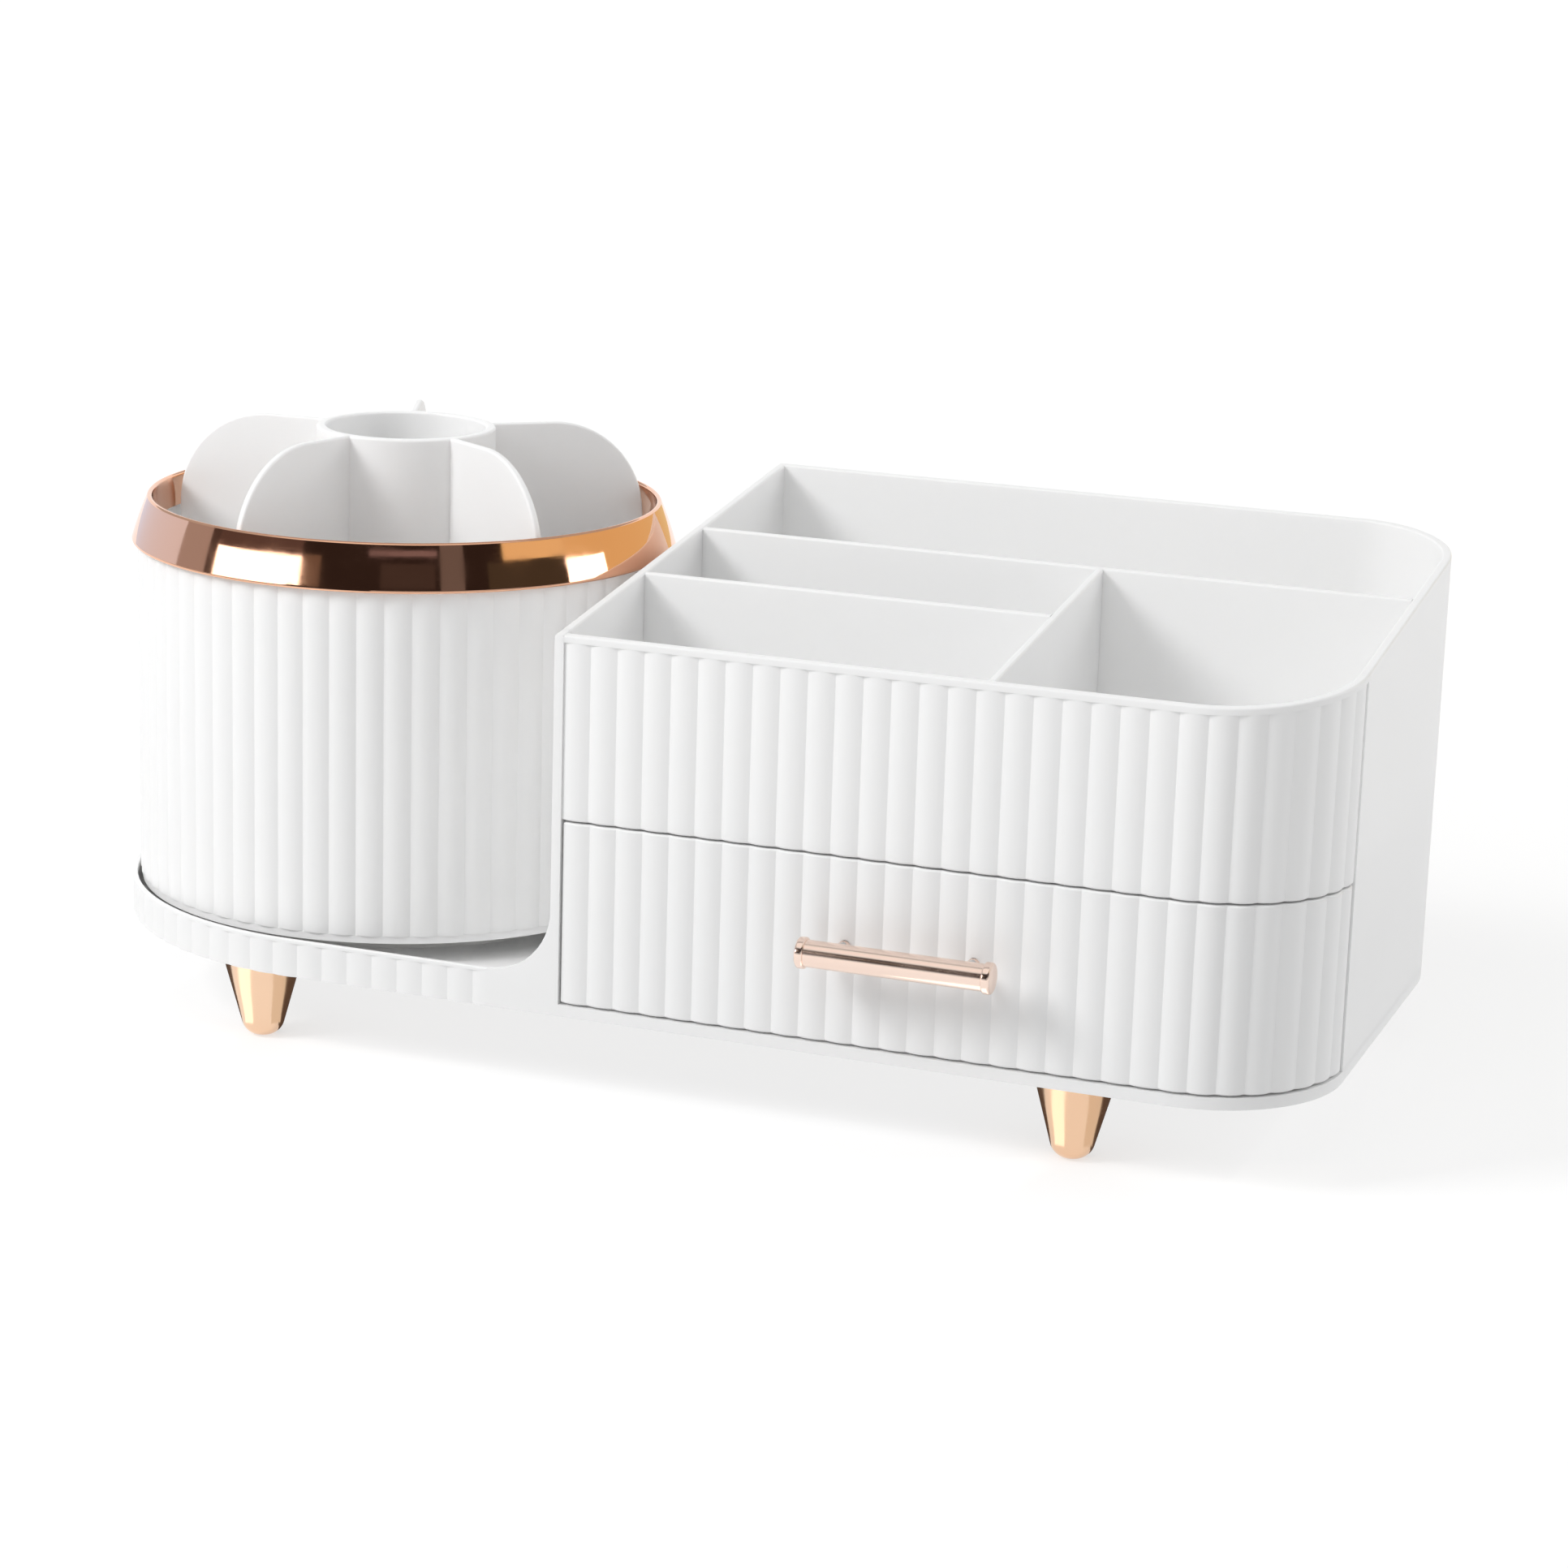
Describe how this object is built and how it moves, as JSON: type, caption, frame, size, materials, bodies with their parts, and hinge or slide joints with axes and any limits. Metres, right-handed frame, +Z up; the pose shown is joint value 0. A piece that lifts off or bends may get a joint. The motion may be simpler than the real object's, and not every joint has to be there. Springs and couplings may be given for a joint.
{
  "type": "rotating makeup organizer",
  "caption": "Desk makeup organizer: a turning fluted brush cup with a finned lift-out insert beside an open compartment box over one pull-out drawer, on tapered feet.",
  "frame": {"origin": "middle of the footprint, handle included, on the surface that the feet stand on", "axes": "+X to the right along the front, +Y to the back, +Z up; the drawer opens towards -Y"},
  "size_m": [0.3184, 0.1562, 0.1419],
  "materials": {
    "white_plastic": "satin white moulded ABS",
    "plated_ring": "rose gold plated, mirror bright",
    "plated_feet": "rose gold plated, satin",
    "handle_metal": "rose gold plated metal",
    "bearing_plastic": "natural acetal",
    "screw_steel": "zinc plated steel"
  },
  "bodies": {
    "base": {"base_frame": "white_plastic", "box_shell": "white_plastic", "upper_front": "white_plastic", "divider_back": "white_plastic", "divider_middle": "white_plastic", "divider_cross": "white_plastic", "foot_front_left": "plated_feet", "foot_front_right": "plated_feet", "foot_back_left": "plated_feet", "foot_back_right": "plated_feet", "foot_screws": "screw_steel", "bearing_race": "bearing_plastic", "pivot_pin": "bearing_plastic", "retaining_washer": "screw_steel", "retaining_screw": "screw_steel"},
    "bearing_cage": {"ball_cage": "bearing_plastic", "bearing_balls": "screw_steel"},
    "turntable": {"turntable_plate": "white_plastic", "cup_screws": "screw_steel", "cup": "white_plastic", "rim_ring": "plated_ring"},
    "insert": {"brush_insert": "white_plastic"},
    "drawer": {"drawer_tray": "white_plastic", "drawer_front": "white_plastic", "handle_bar": "handle_metal", "handle_cap_left": "handle_metal", "handle_cap_right": "handle_metal", "handle_post_left": "handle_metal", "handle_post_right": "handle_metal", "handle_screws": "screw_steel"}
  },
  "joints": [
    {"name": "turntable_spin", "type": "hinge", "parent": "base", "child": "turntable", "pos_m": [-0.09215, 0.00655, 0.0311], "axis": [0, 0, 1], "continuous": true},
    {"name": "cage_spin", "type": "hinge", "parent": "base", "child": "bearing_cage", "pos_m": [-0.09215, 0.00655, 0.02695], "axis": [0, 0, 1], "continuous": true},
    {"name": "insert_lift", "type": "slide", "parent": "turntable", "child": "insert", "axis": [0, 0, 1], "range_m": [0, 0.095]},
    {"name": "drawer_slide", "type": "slide", "parent": "base", "child": "drawer", "axis": [0, -1, 0], "range_m": [0, 0.1]}
  ],
  "couplings": [
    {"joint": "cage_spin", "follows": "turntable_spin", "ratio": 0.5}
  ]
}
